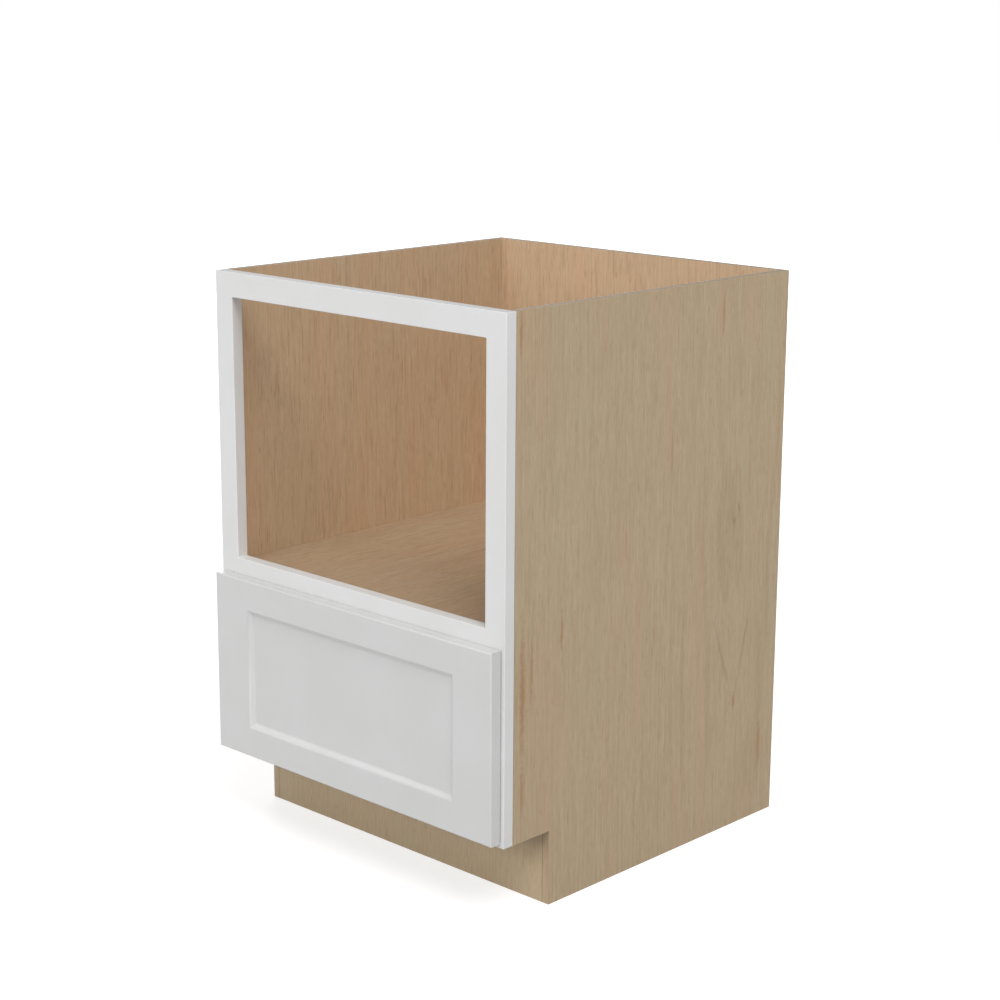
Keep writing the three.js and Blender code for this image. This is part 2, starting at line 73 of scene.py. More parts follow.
class Finish:
    """A material and the nodes of its colour, roughness and relief."""

    def __init__(self, name):
        self.material = bpy.data.materials.new(name)
        self.material.use_nodes = True
        self.tree = self.material.node_tree
        self.shader = self.tree.nodes["Principled BSDF"]
        coordinates = self.node("ShaderNodeTexCoord").outputs
        self.place = coordinates["Object"]
        self.at = self.split(coordinates["Object"])
        self.facing = self.split(coordinates["Normal"])

    def node(self, kind, **settings):
        made = self.tree.nodes.new(kind)
        for name, value in settings.items():
            setattr(made, name, value)
        return made

    def feed(self, socket, value):
        if isinstance(value, bpy.types.NodeSocket):
            self.tree.links.new(value, socket)
        elif isinstance(value, (tuple, list)) and socket.type == "RGBA" and len(value) == 3:
            socket.default_value = (*value, 1)
        else:
            socket.default_value = value

    def math(self, operation, *values):
        made = self.node("ShaderNodeMath", operation=operation)
        for socket, value in zip(made.inputs, values):
            self.feed(socket, value)
        return made.outputs[0]

    def times(self, first, second):
        return self.math("MULTIPLY", first, second)

    def add(self, first, second):
        return self.math("ADD", first, second)

    def ramp(self, value, start, end, low=0.0, high=1.0):
        """value from start..end to low..high, eased at both ends."""
        made = self.node("ShaderNodeMapRange", interpolation_type="SMOOTHSTEP")
        for socket, given in zip(made.inputs, (value, start, end, low, high)):
            self.feed(socket, given)
        return made.outputs[0]

    def stretch(self, vector, scale, shift=(0, 0, 0)):
        made = self.node("ShaderNodeMapping")
        self.feed(made.inputs["Vector"], vector)
        made.inputs["Location"].default_value = shift
        made.inputs["Scale"].default_value = scale
        return made.outputs[0]

    def noise(self, vector, scale=1.0, detail=2.0, roughness=0.5):
        made = self.node("ShaderNodeTexNoise")
        for socket, value in (("Vector", vector), ("Scale", scale), ("Detail", detail),
                              ("Roughness", roughness)):
            self.feed(made.inputs[socket], value)
        return made.outputs["Fac"]

    def fibres(self, grain, across, along, detail=2.0, roughness=0.5, shift=0.0):
        """Noise drawn out along the fibres, with so many repeats per metre across and along them."""
        return self.noise(self.stretch(grain, (across, across, along), (shift, 0, 0)), 1.0, detail, roughness)

    def cells(self, vector, scale):
        made = self.node("ShaderNodeTexVoronoi", feature="F1")
        self.feed(made.inputs["Vector"], vector)
        self.feed(made.inputs["Scale"], scale)
        return made.outputs["Distance"]

    def blend(self, factor, first, second, how="MIX"):
        made = self.node("ShaderNodeMix", data_type="RGBA", blend_type=how)
        self.feed(made.inputs[0], factor)
        self.feed(made.inputs[6], first)
        self.feed(made.inputs[7], second)
        return made.outputs[2]

    def stain(self, color, mask, strength, stain):
        """The colour with a stain of that strength where the mask is 1."""
        return self.blend(self.times(mask, strength), color, stain)

    def shade(self, color, mask, factors):
        """The colour times the factors where the mask is 1."""
        return self.blend(mask, color, self.blend(1.0, color, factors, "MULTIPLY"))

    def split(self, vector):
        made = self.node("ShaderNodeSeparateXYZ")
        self.feed(made.inputs[0], vector)
        return made.outputs

    def gather(self, x, y, z):
        made = self.node("ShaderNodeCombineXYZ")
        for socket, value in zip(made.inputs, (x, y, z)):
            self.feed(socket, value)
        return made.outputs[0]

    def length(self, first, second):
        """The length of a flat vector from its two parts."""
        return self.math("SQRT", self.add(self.times(first, first), self.times(second, second)))

    def relief(self, height, depth, strength):
        """Bump of that depth in metres where height goes from 0 to 1."""
        made = self.node("ShaderNodeBump")
        self.feed(made.inputs["Height"], height)
        made.inputs["Distance"].default_value = depth
        made.inputs["Strength"].default_value = strength
        self.feed(self.shader.inputs["Normal"], made.outputs[0])

    def set(self, **inputs):
        for name, value in inputs.items():
            self.feed(self.shader.inputs[name.replace("_", " ")], value)


def srgb(*levels):
    """A colour from 0..255 levels of a screen to the linear values that a shader reads."""
    return tuple((v / 255 / 12.92) if v / 255 <= 0.04045 else ((v / 255 + 0.055) / 1.055) ** 2.4
                 for v in levels)


def across_board(across, along):
    """The axis of a board's thickness."""
    return ({"X", "Y", "Z"} - {across, along}).pop()


# growth rings: how many per metre of bow, slope and waver, how sharp, and the colour of their late wood
RINGS, RING_BOW, LOG_SLOPE, RING_WAVER, RING_SHARPNESS = 5.5, 24.0, -0.33, 0.9, 5.0
LATE_WOOD, LATE_WOOD_STRENGTH = srgb(146, 118, 86), 0.16
PALE_FIBRE, DEEP_FIBRE = srgb(192, 173, 144), srgb(170, 150, 120)
# stains of the figure: repeats per metre across and along the fibres, detail, roughness and shift of their
# noise, the noise's levels where the stain starts and is full, its strength and its colour
BROAD_STAINS = (
    (48.0, 2.6, 2.0, 0.5, 0.0, 0.3, 0.7, 0.24, srgb(176, 154, 125)),
    (19.0, 2.4, 2.0, 0.5, 0.0, 0.5, 0.68, 0.3, srgb(188, 158, 128)),
    (19.0, 2.4, 2.0, 0.5, 0.0, 0.46, 0.3, 0.2, srgb(178, 166, 138)),
)
PALE_FLECKS = (450.0, 34.0, 1.0, 0.5, 7.3, 0.66, 0.74, 0.25, srgb(203, 183, 152))
DARK_DASHES = (420.0, 38.0, 1.0, 0.5, 0.0, 0.66, 0.72, 0.32, srgb(134, 106, 76))
MINERAL_STREAKS = (52.0, 3.2, 2.0, 0.65, 0.0, 0.71, 0.8, 0.4, srgb(165, 112, 62))


def maple_figure(finish, across, along, shift, tone=1.0):
    """Colour, fibre level and late wood of plain-sliced maple whose fibres run along one axis."""
    u = finish.add(finish.at[across], shift[0])
    w = finish.add(finish.at[across_board(across, along)], shift[1])
    v = finish.add(finish.at[along], shift[2])
    grain = finish.gather(u, w, v)

    # growth rings: the log's slope and waver turn straight lines into arches
    waver = finish.fibres(grain, 5.0, 0.8, detail=3.0)
    bow = finish.times(finish.math("POWER", u, 2.0), RING_BOW)
    rings = finish.add(finish.add(bow, finish.times(v, LOG_SLOPE)), finish.times(waver, RING_WAVER))
    phase = finish.math("FRACT", finish.times(rings, RINGS))
    late_wood = finish.times(finish.ramp(phase, 0.0, 0.86), finish.ramp(phase, 0.9, 1.0, 1.0, 0.0))
    arch_patches = finish.ramp(finish.fibres(grain, 3.1, 1.3, detail=1.0), 0.45, 0.62)
    late_wood = finish.times(finish.math("POWER", late_wood, RING_SHARPNESS), arch_patches)

    # fibres: fine short hair and longer streaks in equal parts
    hair = finish.fibres(grain, 1100.0, 62.0, detail=2.0, roughness=0.6)
    streak = finish.fibres(grain, 330.0, 15.0, detail=3.0, roughness=0.62)
    level = finish.ramp(finish.add(finish.times(hair, 0.5), finish.times(streak, 0.5)), 0.26, 0.74)
    color = finish.blend(level, PALE_FIBRE, DEEP_FIBRE)

    def stained(color, stains):
        for wide, long, detail, roughness, offset, start, full, strength, stain in stains:
            pattern = finish.fibres(grain, wide, long, detail, roughness, offset)
            color = finish.stain(color, finish.ramp(pattern, start, full), strength, stain)
        return color
    color = stained(color, BROAD_STAINS)
    color = finish.stain(color, late_wood, LATE_WOOD_STRENGTH, LATE_WOOD)
    color = stained(color, (PALE_FLECKS, DARK_DASHES, MINERAL_STREAKS))
    if tone != 1.0:
        color = finish.blend(1.0, color, (tone, tone, tone), "MULTIPLY")
    return color, level, late_wood


def veneer_marks(finish, color, across, along, marks):
    """Single marks in one veneer: each has its place, half width and half length, its tilt out of the fibres'
    way, its strength and its colour."""
    ragged = finish.noise(finish.place, 160.0, detail=3.0, roughness=0.6)
    for (at_across, at_along), (half_width, half_length), tilt, strength, stain in marks:
        beside = finish.math("SUBTRACT", finish.at[across], at_across)
        above = finish.math("SUBTRACT", finish.at[along], at_along)
        beside = finish.math("SUBTRACT", beside, finish.times(above, tilt))
        beside = finish.math("DIVIDE", beside, half_width)
        above = finish.math("DIVIDE", above, half_length)
        mask = finish.ramp(finish.add(finish.length(beside, above), ragged), 1.5, 0.6, 0.0, strength)
        color = finish.blend(mask, color, stain)
    return color


# painted light: a warmer, brighter factor for the face that looks inside the cabinet, standing for light
# bounced round inside it
PAINTED_INNER_BOUNCE = (1.1, 1.02, 1.01)
INNER_DASH, INNER_DASH_STRENGTH = srgb(140, 100, 66), 0.22
PLIES = 9
LONG_PLY, END_PLY = (srgb(156, 139, 113), srgb(138, 120, 94)), (srgb(120, 100, 75), srgb(94, 77, 55))
# painted shade: a darker, greyer factor for ply edges that look up, standing for less light from above
PAINTED_SHADE_UPWARD_EDGE = (0.78, 0.81, 0.86)
PLYWOOD_SPECULAR = 0.3


def maple_plywood(name, across, along, shift, thickness, middle, inside, tone=1.0, marks=()):
    """Maple veneer on both faces of a board and on its front edge, painted warmer and brighter as bounce
    light on the face that looks inside the cabinet, and plies with crossing fibres on its other edges,
    darkened as painted shade where they look up."""
    finish = Finish(name)
    color, level, late_wood = maple_figure(finish, across, along, shift, tone)
    color = veneer_marks(finish, color, across, along, marks)
    face = across_board(across, along)
    edge = finish.ramp(finish.math("ABSOLUTE", finish.facing[face]), 0.85, 0.6)
    edge = finish.times(edge, finish.ramp(finish.facing["Y"], -0.8, -0.6))

    inner = finish.ramp(finish.times(finish.facing[face], inside), 0.2, 0.6)
    # painted light: the inside face is made warmer and brighter to stand for bounce light inside the cabinet
    color = finish.shade(color, inner, PAINTED_INNER_BOUNCE)
    scale = [15.0 if axis == along else 300.0 for axis in "XYZ"]
    long_dash = finish.ramp(finish.noise(finish.stretch(finish.place, scale)), 0.56, 0.68)
    color = finish.stain(color, finish.times(inner, long_dash), INNER_DASH_STRENGTH, INNER_DASH)

    depth = finish.math("DIVIDE", finish.math("SUBTRACT", finish.at[face], middle), thickness)
    ply = finish.math("FRACT", finish.add(finish.times(depth, PLIES / 2), 0.25))
    crossing = finish.ramp(finish.math("ABSOLUTE", finish.math("SUBTRACT", ply, 0.5)), 0.2, 0.3)
    speck = finish.noise(finish.place, 900.0, detail=2.0, roughness=0.7)
    long_ply = finish.blend(finish.ramp(speck, 0.4, 0.6), *LONG_PLY)
    end_ply = finish.blend(finish.ramp(speck, 0.35, 0.62), *END_PLY)
    color = finish.blend(edge, color, finish.blend(crossing, long_ply, end_ply))
    # painted shade: ply edges that look up are darkened and greyed
    color = finish.shade(color, finish.times(edge, finish.ramp(finish.facing["Z"], 0.6, 0.95)), PAINTED_SHADE_UPWARD_EDGE)

    rough = finish.add(finish.ramp(level, 0.0, 1.0, 0.5, 0.62), finish.times(edge, 0.18))
    finish.set(Base_Color=color, Roughness=rough, Specular_IOR_Level=PLYWOOD_SPECULAR)
    hollow = finish.add(finish.times(level, 0.6), late_wood)
    finish.relief(finish.math("SUBTRACT", 1.0, hollow), 0.03 * MM, 0.5)
    return finish.material


def solid_maple(name, across, along, shift, end_axis):
    """Planed maple under clear lacquer, with end grain on the ends of its fibres."""
    finish = Finish(name)
    color, level, _ = maple_figure(finish, across, along, shift)
    color = finish.blend(0.45, color, srgb(222, 199, 158))
    end = finish.ramp(finish.math("ABSOLUTE", finish.facing[end_axis]), 0.6, 0.85)
    pores = finish.ramp(finish.cells(finish.place, 1400.0), 0.1, 0.5)
    color = finish.blend(end, color, finish.blend(pores, srgb(150, 121, 84), srgb(190, 163, 122)))
    finish.set(Base_Color=color, Roughness=finish.ramp(level, 0.0, 1.0, 0.36, 0.5))
    finish.relief(finish.math("SUBTRACT", 1.0, level), 0.02 * MM, 0.5)
    return finish.material


# painted shade factors: for faces that look up, and for the top edge at the worktop's height
PAINTED_UPWARD_SHADE, PAINTED_TOP_EDGE_SHADE = (0.9, 0.9, 0.9), (0.62, 0.62, 0.62)


def white_lacquer(name, tone, worktop_height):
    """Sprayed satin lacquer: faint orange peel, the grain just showing through, softly varied sheen. Faces
    that look up are darkened a little as painted shade, and the top edge at the worktop's height is darkened
    much more as painted shade and made matt."""
    finish = Finish(name)
    peel = finish.noise(finish.place, 620.0)
    fibres = finish.noise(finish.stretch(finish.place, (90.0, 700.0, 700.0)))
    cloud = finish.noise(finish.place, 9.0, detail=3.0)
    speck = finish.ramp(finish.noise(finish.place, 1500.0, detail=1.0), 0.72, 0.8)
    dark, pale = srgb(tone, tone, tone - 1), srgb(tone + 3, tone + 3, tone + 3)
    color = finish.blend(finish.ramp(cloud, 0.3, 0.7), dark, pale)
    color = finish.stain(color, speck, 0.12, srgb(tone - 25, tone - 26, tone - 30))
    upward = finish.ramp(finish.facing["Z"], 0.6, 0.95)
    at_worktop = finish.ramp(finish.at["Z"], worktop_height - 0.8 * MM, worktop_height - 0.2 * MM)
    shaded_top_edge = finish.times(upward, at_worktop)
    # painted shade: upward faces are darkened a little and the top edge at the worktop's height much more,
    # standing for less light from above
    color = finish.shade(finish.shade(color, upward, PAINTED_UPWARD_SHADE), shaded_top_edge, PAINTED_TOP_EDGE_SHADE)
    rough = finish.add(finish.ramp(cloud, 0.25, 0.75, 0.38, 0.46), finish.times(shaded_top_edge, 0.4))
    finish.set(Base_Color=color, Roughness=rough)
    finish.relief(finish.add(finish.times(peel, 0.7), finish.times(fibres, 0.3)), 0.05 * MM, 0.35)
    return finish.material


def plated_steel(name, color, grain, rough):
    """Rolled and plated strip: fine lines along its length, cloudy plating with darker stains."""
    finish = Finish(name)
    lines = finish.noise(finish.stretch(finish.place, grain), detail=3.0, roughness=0.6)
    cloud = finish.noise(finish.place, 45.0, detail=3.0, roughness=0.6)
    stain = finish.ramp(finish.noise(finish.place, 160.0), 0.58, 0.72)
    shade = finish.blend(finish.ramp(lines, 0.3, 0.7), color, tuple(c * 0.72 for c in color))
    shade = finish.stain(shade, stain, 0.25, tuple(c * 0.55 for c in color))
    finish.set(Base_Color=shade, Metallic=1.0,
               Roughness=finish.ramp(cloud, 0.3, 0.7, rough - 0.06, rough + 0.1))
    finish.relief(lines, 0.01 * MM, 0.5)
    return finish.material


def clear_rubber(name):
    """Soft polyurethane of the drawer's bumpers, slightly milky."""
    finish = Finish(name)
    haze = finish.noise(finish.place, 700.0)
    finish.set(Base_Color=finish.blend(haze, srgb(226, 228, 224), srgb(206, 209, 205)),
               Roughness=finish.ramp(haze, 0.3, 0.7, 0.22, 0.34), Transmission_Weight=0.35)
    finish.relief(haze, 0.02 * MM, 0.4)
    return finish.material


# ---------------------------------------------------------------- pieces

MERGE = 0.005 * MM
NEARLY = 1e-7


def piece(name, bm, body, slot, material, *replaced):
    """A finished mesh as an object that rides on a body and stands for CAD nodes."""
    mesh = bpy.data.meshes.new(name)
    bm.to_mesh(mesh)
    bm.free()
    made = bpy.data.objects.new(name, mesh)
    bpy.context.scene.collection.objects.link(made)
    mesh.materials.append(material)
    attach(made, body)
    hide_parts(*replaced)
    return made


def grown(geometry):
    """The vertices among what an operator made, and the edges that join only these."""
    points = [g for g in geometry if isinstance(g, bmesh.types.BMVert)]
    among = set(points)
    edges = [g for g in geometry if isinstance(g, bmesh.types.BMEdge)]
    return points, [e for e in edges if all(v in among for v in e.verts)]


def shade_curves(bm, limit=35):
    """Smooth shading on what is rounded, while planed faces stay flat right up to their edges."""
    bm.normal_update()
    for face in bm.faces:
        face.smooth = max(abs(part) for part in face.normal) < 0.9999
    for edge in bm.edges:
        edge.smooth = not edge.is_manifold or edge.calc_face_angle(0) < math.radians(limit)


def ease_edges(bm, edges, width, segments):
    bmesh.ops.bevel(bm, geom=edges, offset=width, offset_type="OFFSET", segments=segments, profile=0.5,
                    affect="EDGES", material=-1, clamp_overlap=True)


def soften(bm, width, segments=2):
    """Eases every edge that is sharper than 30 degrees."""
    sharp = [e for e in bm.edges if e.is_manifold and e.calc_face_angle(0) > math.radians(30)]
    ease_edges(bm, sharp, width, segments)
    shade_curves(bm)


def board(node, body, slot, material, ease=0.35 * MM, kind="board"):
    """A sawn or pressed piece with the CAD node's own shape, its edges eased."""
    bm = bmesh.new()
    bm.from_mesh(frame["nodes"][node].data)
    bmesh.ops.remove_doubles(bm, verts=bm.verts, dist=MERGE)
    bmesh.ops.dissolve_limit(bm, angle_limit=math.radians(0.6), verts=bm.verts, edges=bm.edges)
    soften(bm, ease)
    return piece(f"{node}_{kind}", bm, body, slot, material, node)


def painted_face_frame(material):
    """Two stiles and three rails, lacquered as one after gluing, so that no joint shows."""
    low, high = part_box("frame_stile_left")
    across = (low.x, high.x, -high.x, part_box("frame_stile_right")[1].x)
    up = [z for name in ("frame_bottom_rail", "frame_middle_rail", "frame_top_rail")
          for z in (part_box(name)[0].z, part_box(name)[1].z)]
    bm = bmesh.new()
    columns, rows = len(across) - 1, len(up) - 1
    bmesh.ops.create_grid(bm, x_segments=columns, y_segments=rows, size=0.5)
    for vert in bm.verts:
        column = round((vert.co.x + 0.5) * columns)
        row = round((vert.co.y + 0.5) * rows)
        vert.co = (across[column], low.y, up[row])
    openings = [f for f in bm.faces if abs(f.calc_center_median().x) < 10 * MM
                and any(a < f.calc_center_median().z < b for a, b in ((up[1], up[2]), (up[3], up[4])))]
    bmesh.ops.delete(bm, geom=openings, context="FACES")
    back, _ = grown(bmesh.ops.extrude_face_region(bm, geom=list(bm.faces))["geom"])
    bmesh.ops.translate(bm, verts=back, vec=(0, high.y - low.y, 0))
    bmesh.ops.recalc_face_normals(bm, faces=bm.faces)
    soften(bm, 0.9 * MM, 3)
    return piece("painted_face_frame", bm, "cabinet", "white_paint", material, "frame_stile_left",
                 "frame_stile_right", "frame_top_rail", "frame_middle_rail", "frame_bottom_rail")


def rectangle_loop(bm, edges, half, low, high, y):
    """The next rectangle of a moulding that runs round a frame, joined to the one before."""
    if edges is None:
        around = ((-half, low), (half, low), (half, high), (-half, high))
        corners = [bm.verts.new((x, y, z)) for x, z in around]
        return [bm.edges.new((a, b)) for a, b in zip(corners, corners[1:] + corners[:1])]
    panel_low, panel_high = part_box("drawer_front_panel")
    corners, loop = grown(bmesh.ops.extrude_edge_only(bm, edges=edges)["geom"])
    for vert in corners:
        upper = vert.co.z > (panel_low.z + panel_high.z) / 2
        vert.co = (math.copysign(half, vert.co.x), y, high if upper else low)
    return loop


# the drawer front's moulding as shares of its width and of its fall: a slope with a hollow at its foot
MOULDING = ((0, 0), (0.35, 0.43), (0.66, 0.81), (0.75, 0.895), (0.83, 0.95), (0.91, 0.985), (1, 1))


def drawer_front_frame(material):
    """The drawer front's stiles and rails with the slope down to the sunk panel, lacquered as one."""
    low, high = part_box("drawer_front_stile_left")
    half, bottom, top = -low.x, low.z, high.z
    face, back = low.y, high.y
    panel_low, panel_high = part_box("drawer_front_panel")
    stile, rail, slope, lip, groove = 75 * MM, 47 * MM, 10 * MM, 0.2 * MM, 9 * MM
    fall_to_panel = panel_low.y - lip - face
    inner_stile, inner_rail = stile + slope, rail + slope
    stations = (
        (0, 0, back), (0, 0, face),
        *((stile + slope * out, rail + slope * out, face + fall_to_panel * fall) for out, fall in MOULDING),
        (inner_stile, inner_rail, panel_low.y),
        (inner_stile - groove, inner_rail - groove, panel_low.y),
        (inner_stile - groove, inner_rail - groove, panel_high.y),
        (inner_stile, inner_rail, panel_high.y),
        (inner_stile, inner_rail, back),
    )
    bm = bmesh.new()
    loops = [None]
    for side, ends, y in stations:
        loops.append(rectangle_loop(bm, loops[-1], half - side, bottom + ends, top - ends, y))
    bmesh.ops.bridge_loops(bm, edges=loops[1] + loops[-1])
    bmesh.ops.recalc_face_normals(bm, faces=bm.faces)

    def on_face(reach):
        return [e for e in bm.edges if e.is_manifold
                and all(abs(v.co.y - face) < NEARLY and abs(abs(v.co.x) - reach) < NEARLY for v in e.verts)]
    ease_edges(bm, on_face(half), 2.5 * MM, 5)
    ease_edges(bm, on_face(half - stile), 0.5 * MM, 2)
    shade_curves(bm)
    for edge in bm.edges:
        run = edge.verts[0].co - edge.verts[1].co
        is_mitre = min(abs(run.x), abs(run.z)) > 0.001 * MM
        if is_mitre and all(abs(v.co.x) < half - stile for v in edge.verts):
            edge.smooth = False
    return piece("drawer_front_frame", bm, "drawer", "white_paint", material, "drawer_front_stile_left",
                 "drawer_front_stile_right", "drawer_front_rail_top", "drawer_front_rail_bottom")


# a wafer-head screw in mm from its seat: half width, half slot and corner of the cross, rings of the head as
# radius and height down to the neck, radii of the thread's core and crest, its pitch and where it starts and
# how long the plain point is
CROSS_ARM, CROSS_SLOT, CROSS_CORNER = 1.75, 0.4, 1.3
HEAD_HEIGHT = 0.95
HEAD_RINGS = ((2.2, 0.93), (2.9, 0.82), (3.4, 0.6), (3.6, 0.34), (3.6, 0.1), (3.5, 0.0), (1.75, 0.0),
              (1.6, -0.3))
THREAD_CORE, THREAD_CREST, THREAD_PITCH, THREAD_START, POINT_LENGTH = 1.35, 1.88, 1.25, 0.9, 3.4


def new_ring(bm, edges, radius, height):
    """The next ring of a turned shape, in mm: each point keeps its direction from the axis."""
    ring, ring_edges = grown(bmesh.ops.extrude_edge_only(bm, edges=edges)["geom"])
    for vert in ring:
        flat = Vector((vert.co.x, vert.co.y, 0)).normalized() * radius * MM
        vert.co = (flat.x, flat.y, height * MM)
    return ring_edges


def cross_recess(bm):
    """The middle of a screw's head with its cross pressed in, as a square with clipped corners."""
    bmesh.ops.create_grid(bm, x_segments=3, y_segments=3, size=0.5)
    lines = (-CROSS_ARM, -CROSS_SLOT, CROSS_SLOT, CROSS_ARM)
    for vert in bm.verts:
        column, row = round((vert.co.x + 0.5) * 3), round((vert.co.y + 0.5) * 3)
        place = Vector((lines[column], lines[row], HEAD_HEIGHT))
        if column in (0, 3) and row in (0, 3):
            place.x, place.y = math.copysign(CROSS_CORNER, place.x), math.copysign(CROSS_CORNER, place.y)
        vert.co = place * MM
    cross = [f for f in bm.faces if min(abs(c) for c in f.calc_center_median().xy) < 0.1 * MM]
    sunk, _ = grown(bmesh.ops.extrude_face_region(bm, geom=cross)["geom"])
    bmesh.ops.delete(bm, geom=cross, context="FACES")
    for vert in sunk:
        is_end = max(abs(vert.co.x), abs(vert.co.y)) > 1.0 * MM
        reach, sink = (0.62, 0.85) if is_end else (0.9, 1.15)
        vert.co = (vert.co.x * reach, vert.co.y * reach, vert.co.z - sink * MM)


def cross_head_screw(node, way, material):
    """A wafer-head screw with a cross recess, a rolled thread and a point; way is where its point looks."""
    low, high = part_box(node)
    axis = max(range(3), key=lambda number: abs(way[number]))
    head = 1.0 * MM
    length = (high[axis] - low[axis] - head) / MM
    seat = (low + high) / 2
    seat[axis] = low[axis] + head if way[axis] > 0 else high[axis] - head
    bm = bmesh.new()
    cross_recess(bm)
    bmesh.ops.subdivide_edges(bm, edges=[e for e in bm.edges if e.is_boundary], cuts=1)
    rim = [e for e in bm.edges if e.is_boundary]
    for radius, height in HEAD_RINGS:
        rim = new_ring(bm, rim, radius, height)
    depth = THREAD_START
    while depth + POINT_LENGTH < length:
        rim = new_ring(bm, rim, THREAD_CORE, -depth)
        rim = new_ring(bm, rim, THREAD_CREST, -depth - 0.45 * THREAD_PITCH)
        rim = new_ring(bm, rim, THREAD_CREST, -depth - 0.55 * THREAD_PITCH)
        depth += THREAD_PITCH
    rim = new_ring(bm, rim, THREAD_CORE, -depth)
    rim = new_ring(bm, rim, 0.25, 0.3 - length)
    tip, _ = grown(bmesh.ops.extrude_edge_only(bm, edges=rim)["geom"])
    bmesh.ops.pointmerge(bm, verts=tip, merge_co=(0, 0, -length * MM))
    bmesh.ops.recalc_face_normals(bm, faces=bm.faces)
    turn = Vector((0, 0, -1)).rotation_difference(Vector(way)).to_matrix().to_4x4()
    bmesh.ops.transform(bm, matrix=Matrix.Translation(seat) @ turn, verts=bm.verts)
    shade_curves(bm, 50)
    return piece(f"{node}_cross_head", bm, frame["nodes"][node]["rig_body"], "screw_steel", material, node)


def arc(centre, radius, start, end, steps=4):
    """Points of an arc in (depth, height), from one angle in degrees to another."""
    angles = [math.radians(start + (end - start) * step / steps) for step in range(steps + 1)]
    return [(centre[0] + radius * math.cos(angle), centre[1] + radius * math.sin(angle)) for angle in angles]


def punch_slot(bm, middle, half_length, half_height):
    """A slot with round ends in the web's face that lies round the point."""
    cell = min(bm.faces, key=lambda face: (face.calc_center_median() - middle).length)
    outline = list(cell.edges)
    bmesh.ops.delete(bm, geom=[cell], context="FACES_ONLY")
    ring = bmesh.ops.create_circle(bm, segments=20, radius=half_height)["verts"]
    bmesh.ops.rotate(bm, verts=ring, matrix=Matrix.Rotation(math.pi / 2, 3, "Y"))
    for vert in ring:
        vert.co.y += math.copysign(half_length - half_height, vert.co.y)
    bmesh.ops.translate(bm, verts=ring, vec=middle)
    round_edges = {e for v in ring for e in v.link_edges}
    bmesh.ops.triangle_fill(bm, edges=outline + list(round_edges), use_beauty=True)


def pressed_channel(bm, profile, sheet, place, span, openings):
    """A strip rolled to a channel. profile is its outer skin as (depth, height) from flange to flange, place
    turns these and y into a point, and openings are its web's slots as (y, height, half length, half height).
    """
    stations = sorted({*span, *(y + half * step for y, _, half, _ in openings for step in (-1.5, 1.5))})
    chain = [bm.verts.new(place(depth, stations[0], height)) for depth, height in profile]
    edges = [bm.edges.new(pair) for pair in zip(chain, chain[1:])]
    for near, far in zip(stations, stations[1:]):
        moved, edges = grown(bmesh.ops.extrude_edge_only(bm, edges=edges)["geom"])
        bmesh.ops.translate(bm, verts=moved, vec=(0, far - near, 0))
    for y, height, half_length, half_height in openings:
        punch_slot(bm, place(0.0, y, height), half_length, half_height)
    bmesh.ops.recalc_face_normals(bm, faces=bm.faces)
    bm.normal_update()
    start = place(0.0, span[0], 0.0)
    web = min(bm.faces, key=lambda face: (face.calc_center_median() - start).length)
    if web.normal.dot(start - place(1.0, span[0], 0.0)) < 0:
        bmesh.ops.reverse_faces(bm, faces=bm.faces)
    bmesh.ops.solidify(bm, geom=bm.faces, thickness=sheet)
    bmesh.ops.recalc_face_normals(bm, faces=bm.faces)


def channel_profile(flange, half, bend, rows, curl=0.0):
    """Outer skin of a channel whose web is at depth 0: bends, flanges, and lines on the web for its rows of
    slots. A curl turns the flanges' free edges in round the balls."""
    tip = [(flange, -half)]
    if curl:
        turns = [math.radians(angle) for angle in (75, 50, 25, 0)]
        tip = [(flange - curl * (1 - math.sin(turn)), -half + curl * (1 - math.cos(turn))) for turn in turns]
    lower_bend = arc((bend, -half + bend), bend, 270, 180)
    upper_bend = arc((bend, half - bend), bend, 180, 90)
    lines = [(0.0, height) for height in rows]
    return [*tip, *lower_bend, *lines, *upper_bend, *((depth, -height) for depth, height in reversed(tip))]


def steel_balls(bm, places, radius):
    for place in places:
        made = bmesh.ops.create_uvsphere(bm, u_segments=20, v_segments=12, radius=radius)["verts"]
        bmesh.ops.translate(bm, verts=made, vec=place)


# a bumper's section as shares of its radius and its height
DOME = ((0, 0), (1, 0), (1, 0.12), (0.93, 0.45), (0.78, 0.75), (0.5, 0.94), (0, 1))


def soft_bumper(node, material):
    """A domed self-adhesive bumper on the back of the drawer front."""
    low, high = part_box(node)
    middle, radius, rise = (low + high) / 2, (high.x - low.x) / 2, high.y - low.y
    bm = bmesh.new()
    points = [bm.verts.new((middle.x + radius * wide, low.y + rise * out, middle.z)) for wide, out in DOME]
    line = [bm.edges.new(pair) for pair in zip(points, points[1:])]
    bmesh.ops.spin(bm, geom=points + line, cent=middle, axis=(0, 1, 0), angle=math.tau, steps=32,
                   use_merge=True)
    bmesh.ops.remove_doubles(bm, verts=bm.verts, dist=MERGE)
    bmesh.ops.recalc_face_normals(bm, faces=bm.faces)
    shade_curves(bm, 50)
    return piece(f"{node}_dome", bm, frame["nodes"][node]["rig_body"], "bumper_plastic", material, node)


# ---------------------------------------------------------------- dressing

worktop_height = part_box("frame_top_rail")[1].z
painted_face_frame(white_lacquer("satin_white_frame", 218, worktop_height))
front_white = white_lacquer("satin_white_drawer_front", 205, worktop_height)
drawer_front_frame(front_white)
board("drawer_front_panel", "drawer", "white_paint", front_white, 0.3 * MM)

RUST, BARK, SMUDGE = srgb(158, 108, 60), srgb(118, 92, 62), srgb(150, 122, 92)
